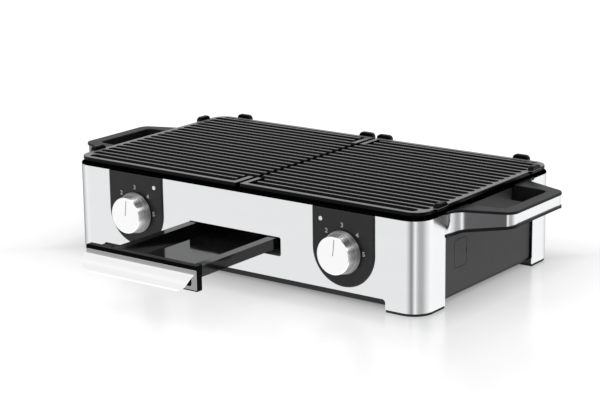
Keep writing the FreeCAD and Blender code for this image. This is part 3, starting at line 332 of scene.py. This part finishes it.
# zinc-plated mild steel of the brackets, guides, posts and thermostats: pale grey, half matt
plating = {
    "colours": ("9C9C98", "B0B0AC", "A5A5A4"), "toneMm": (9, 9, 9), "grainMm": (1.5, 1.5, 1.5),
    "roughness": (0.28, 0.42), "reliefMm": 0.01, "metallic": 1.0,
}
paint(surfaceMaterial("zincPlatedSteel", plating),
      "thermostat", "standoff_posts", "drawer_guide", "knob_spindle")

# screws: the same plating, a shade darker and with a finer grain
screwSteel = dict(plating, colours=("8C8C8E", "A2A2A4"), toneMm=(2, 2, 2),
                  grainMm=(0.4, 0.4, 0.4))
paint(surfaceMaterial("platedScrew", screwSteel),
      "base_screws", "handle_screws", "bracket_screws")

# woven glass sleeve on the inside wiring: fine pale braid
sleeve = {
    "colours": ("9E998B", "B9B4A5", "C6C2B4"),
    "toneMm": (0.9, 0.9, 0.9), "grainMm": (0.7, 0.7, 0.7),
    "roughness": (0.7, 0.85), "reliefMm": 0.12, "specular": 0.3,
}
paint(surfaceMaterial("glassBraid", sleeve), "wiring")

# steatite: off-white fired ceramic with a thin glaze
steatite = {
    "colours": ("CFCABC", "DAD6C9"), "toneMm": (5, 5, 5), "grainMm": (0.6, 0.6, 0.6),
    "roughness": (0.25, 0.4), "reliefMm": 0.015, "specular": 0.5,
}
paint(surfaceMaterial("glazedSteatite", steatite),
      "terminal_block", "element_clips", "thermal_cutout")

# the pulled-out drawer stays out of the front sheet's mirror image
for name in ("drip_tray", "drawer_front", "drawer_pull", "drawer_shelf"):
    nodes[name].visible_glossy = False
print("materials:", len(bpy.data.materials))


# dial numbers, each at its angle round the knob, a hair in front of the panel
dial = {
    "marks": {"0": 225, "1": 180, "2": 137, "3": 90, "4": 45, "5": 0},
    "ringMm": 29.2, "shiftMm": (-0.9, 2.0), "proudMm": 0.02,
    "heightMm": 5.2, "emPerHeight": 1.4, "boldMm": 0.12, "stretch": 1.15, "body": "base",
}
# pad-printed ink: pale grey and matt
ink = {
    "colours": ("A6A7A9", "BABBBC"), "toneMm": (2, 2, 2), "grainMm": (0.3, 0.3, 0.3),
    "roughness": (0.45, 0.6), "reliefMm": 0.004, "specular": 0.4,
}
inkMaterial = surfaceMaterial("padPrintedInk", ink)


def textOutline(words, size):
    # a font's letters as vertices and faces, flat in X and Y
    curve = bpy.data.curves.new("letters", "FONT")
    curve.body = words
    curve.size = size
    curve.offset = dial["boldMm"] * mm
    curve.align_x = "CENTER"
    curve.align_y = "CENTER"
    holder = bpy.data.objects.new("letters", curve)
    flat = bpy.data.meshes.new_from_object(holder)
    places = np.empty(len(flat.vertices) * 3)
    flat.vertices.foreach_get("co", places)
    faces = [tuple(f.vertices) for f in flat.polygons]
    bpy.data.objects.remove(holder)
    bpy.data.curves.remove(curve)
    bpy.data.meshes.remove(flat)
    return places.reshape(-1, 3), faces


def dialPrint(side, centreX):
    # every number sits upright on a ring about the knob axis, a little off its centre:
    # centre + shift + ring * (cos, sin) of its angle
    low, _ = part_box("control_panel_" + side)
    shiftX, shiftZ = dial["shiftMm"]
    points, faces, count = [], [], 0
    for words, angle in dial["marks"].items():
        outline, polygons = textOutline(words, dial["heightMm"] * dial["emPerHeight"] * mm)
        turn = math.radians(angle)
        middle = (outline.max(0) + outline.min(0)) / 2
        acrossMm = shiftX + dial["ringMm"] * math.cos(turn)
        upMm = capSteel["axisZ"] + shiftZ + dial["ringMm"] * math.sin(turn)
        x = (outline[:, 0] - middle[0]) * dial["stretch"] + centreX + acrossMm * mm
        y = np.full(len(x), low.y - dial["proudMm"] * mm)
        z = outline[:, 1] - middle[1] + upMm * mm
        points.append(np.stack([x, y, z], axis=1))
        faces += [tuple(i + count for i in polygon) for polygon in polygons]
        count += len(outline)
    mesh = bpy.data.meshes.new("dial_print_" + side)
    mesh.from_pydata(np.concatenate(points).tolist(), [], faces)
    mesh.materials.append(inkMaterial)
    piece = bpy.data.objects.new("dial_print_" + side, mesh)
    bpy.context.scene.collection.objects.link(piece)
    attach(piece, dial["body"])


dialPrint("left", -capSteel["axisX"] * mm)
dialPrint("right", capSteel["axisX"] * mm)
print("dial numbers printed")


# a pale table: to the camera it shows a darker colour and glows by the distance from the
# housing's outline, white further out; the glow's rise paints the shade's fall-off round the
# housing, and below the housing it keeps the real shade
paleTable = {
    "colour": "F0F0F0", "seenColour": "808080", "specular": 0.15, "roughness": 0.25,
    "sizeMetres": 12.0, "outlineMm": (262, 150),
    "glowMm": ((-50, 0.0), (-32, 0.14), (-13, 0.42), (34, 0.64), (105, 0.75), (205, 0.80),
               (430, 0.84)),
}
half = paleTable["sizeMetres"] / 2
corners = [(-half, -half, 0), (half, -half, 0), (half, half, 0), (-half, half, 0)]
table = bpy.data.meshes.new("table")
table.from_pydata(corners, [], [(0, 1, 2, 3)])
tableTop = bpy.data.objects.new("table", table)
bpy.context.scene.collection.objects.link(tableTop)
tableTop.visible_glossy = False
material, tree, shader = startMaterial("paleTable", paleTable)
shader.inputs["Roughness"].default_value = paleTable["roughness"]
shader.inputs["Emission Color"].default_value = grey(1.0)
spot = addNode(tree, "SeparateXYZ", {"Vector": addNode(tree, "TexCoord").outputs["Object"]})
beyond = []
for axis, reach in zip("XY", paleTable["outlineMm"]):
    away = addNode(tree, "Math", {0: spot.outputs[axis]}, operation="ABSOLUTE")
    beyond.append(addNode(tree, "Math", {0: away, 1: reach * mm}, operation="SUBTRACT"))
edge = addNode(tree, "Math", {0: beyond[0], 1: beyond[1]}, operation="MAXIMUM")
edgeMm = addNode(tree, "Math", {0: edge, 1: 1 / mm}, operation="MULTIPLY")
lifted = levelRamp(tree, edgeMm, paleTable["glowMm"])
seen = addNode(tree, "LightPath").outputs["Is Camera Ray"]
glow = addNode(tree, "Math", {0: seen, 1: lifted}, operation="MULTIPLY")
tone = addNode(tree, "Mix", {"Factor": seen, "A": hexToLinear(paleTable["colour"]),
                             "B": hexToLinear(paleTable["seenColour"])}, data_type="RGBA")
tree.links.new(tone.outputs["Result"], shader.inputs["Base Color"])
tree.links.new(glow.outputs["Value"], shader.inputs["Emission Strength"])
table.materials.append(material)

# what the steel mirrors, and the plain light on everything else
studio = {
    # cards round the table: brightness by compass angle, in degrees from the front towards
    # the right
    "cards": (
        (-180, 0.80), (-140, 0.30), (-112, 0.35), (-84, 0.80), (-62, 1.07), (-40, 0.96),
        (-8, 0.98), (4, 0.72), (14, 0.36), (21, 0.18), (28, 0.55), (39, 1.24), (47, 0.72),
        (56, 0.49), (76, 0.46), (96, 0.83), (124, 1.16), (150, 1.13), (180, 0.80),
    ),
    # long cards overhead: brightness by the angle up from the right, over the top, to the left
    "ceiling": (
        (0, 0.05), (14, 0.05), (25, 1.2), (33, 3.4), (42, 0.6), (60, 0.12), (78, 0.8),
        (92, 3.2), (106, 1.0), (118, 0.9), (150, 1.05), (180, 0.9),
    ),
    "ceilingFrom": (0.12, 0.3),  # how steeply a ray climbs where the cards give way to it
    "below": 1.3, "belowFrom": (-0.4, -0.6),  # what stands in for the table in the steel
    "ambient": 0.75,
}
world = bpy.data.worlds.new("studioWorld")
bpy.context.scene.world = world
world.use_nodes = True
tree = world.node_tree
tree.nodes.clear()
look = addNode(tree, "SeparateXYZ", {"Vector": addNode(tree, "TexCoord").outputs["Generated"]})
lookX, lookY, lookZ = look.outputs
towardsFront = addNode(tree, "Math", {0: lookY, 1: -1.0}, operation="MULTIPLY")
angle = addNode(tree, "Math", {0: lookX, 1: towardsFront}, operation="ARCTAN2")
compass = addNode(tree, "Math", {0: angle}, operation="DEGREES")
ring = levelRamp(tree, compass, studio["cards"])
climb = addNode(tree, "Math", {0: lookZ, 1: lookX}, operation="ARCTAN2")
arc = addNode(tree, "Math", {0: climb}, operation="DEGREES")
arch = levelRamp(tree, arc, studio["ceiling"])
low, high = studio["ceilingFrom"]
height = addNode(tree, "MapRange", {"Value": lookZ, "From Min": low, "From Max": high})
upper = addNode(tree, "Mix", {"Factor": height, "A": ring, "B": arch}, data_type="RGBA")
shallow, steep = studio["belowFrom"]
depth = addNode(tree, "MapRange", {"Value": lookZ, "From Min": shallow, "From Max": steep})
around = addNode(tree, "Mix", {"Factor": depth, "A": upper.outputs["Result"],
                               "B": grey(studio["below"])}, data_type="RGBA")
rays = addNode(tree, "LightPath").outputs
mirrored = addNode(tree, "Math", {0: rays["Is Glossy Ray"], 1: rays["Is Transmission Ray"]},
                   operation="MAXIMUM")
lit = addNode(tree, "Mix", {"Factor": mirrored, "A": grey(studio["ambient"]),
                            "B": around.outputs["Result"]}, data_type="RGBA")
shown = addNode(tree, "Mix", {"Factor": rays["Is Camera Ray"], "A": lit.outputs["Result"],
                              "B": grey(1.0)}, data_type="RGBA")
background = addNode(tree, "Background", {"Color": shown.outputs["Result"]})
addNode(tree, "OutputWorld", {"Surface": background})

# one large soft lamp, high up at the front left, aimed at the foot of the housing
softLamp = {"watts": 20.0, "sizeMetres": 1.6, "place": (-0.9, -1.2, 2.4)}
lamp = bpy.data.lights.new("softbox", "AREA")
lamp.energy = softLamp["watts"]
lamp.size = softLamp["sizeMetres"]
softbox = bpy.data.objects.new("softbox", lamp)
bpy.context.scene.collection.objects.link(softbox)
lampPlace = Vector(softLamp["place"])
softbox.matrix_world = (Matrix.Translation(lampPlace)
                        @ lampPlace.to_track_quat("Z", "Y").to_matrix().to_4x4())
softbox.visible_glossy = False
print("studio lit")

# camera as turns in degrees about the model's up axis, its own level axis and its own line
# of sight
view = {
    "lens": 110.48, "azimuth": 36.67, "elevation": 14.66, "roll": -0.746,
    "place": (1.29108, -1.75552, 0.63640),
}
camera = bpy.data.cameras.new("camera")
camera.lens = view["lens"]
eye = bpy.data.objects.new("camera", camera)
bpy.context.scene.collection.objects.link(eye)
eye.matrix_world = (Matrix.Translation(view["place"])
                    @ Matrix.Rotation(math.radians(view["azimuth"]), 4, "Z")
                    @ Matrix.Rotation(math.radians(90 - view["elevation"]), 4, "X")
                    @ Matrix.Rotation(math.radians(view["roll"]), 4, "Z"))
bpy.context.scene.camera = eye
bpy.context.scene.view_settings.view_transform = "Standard"
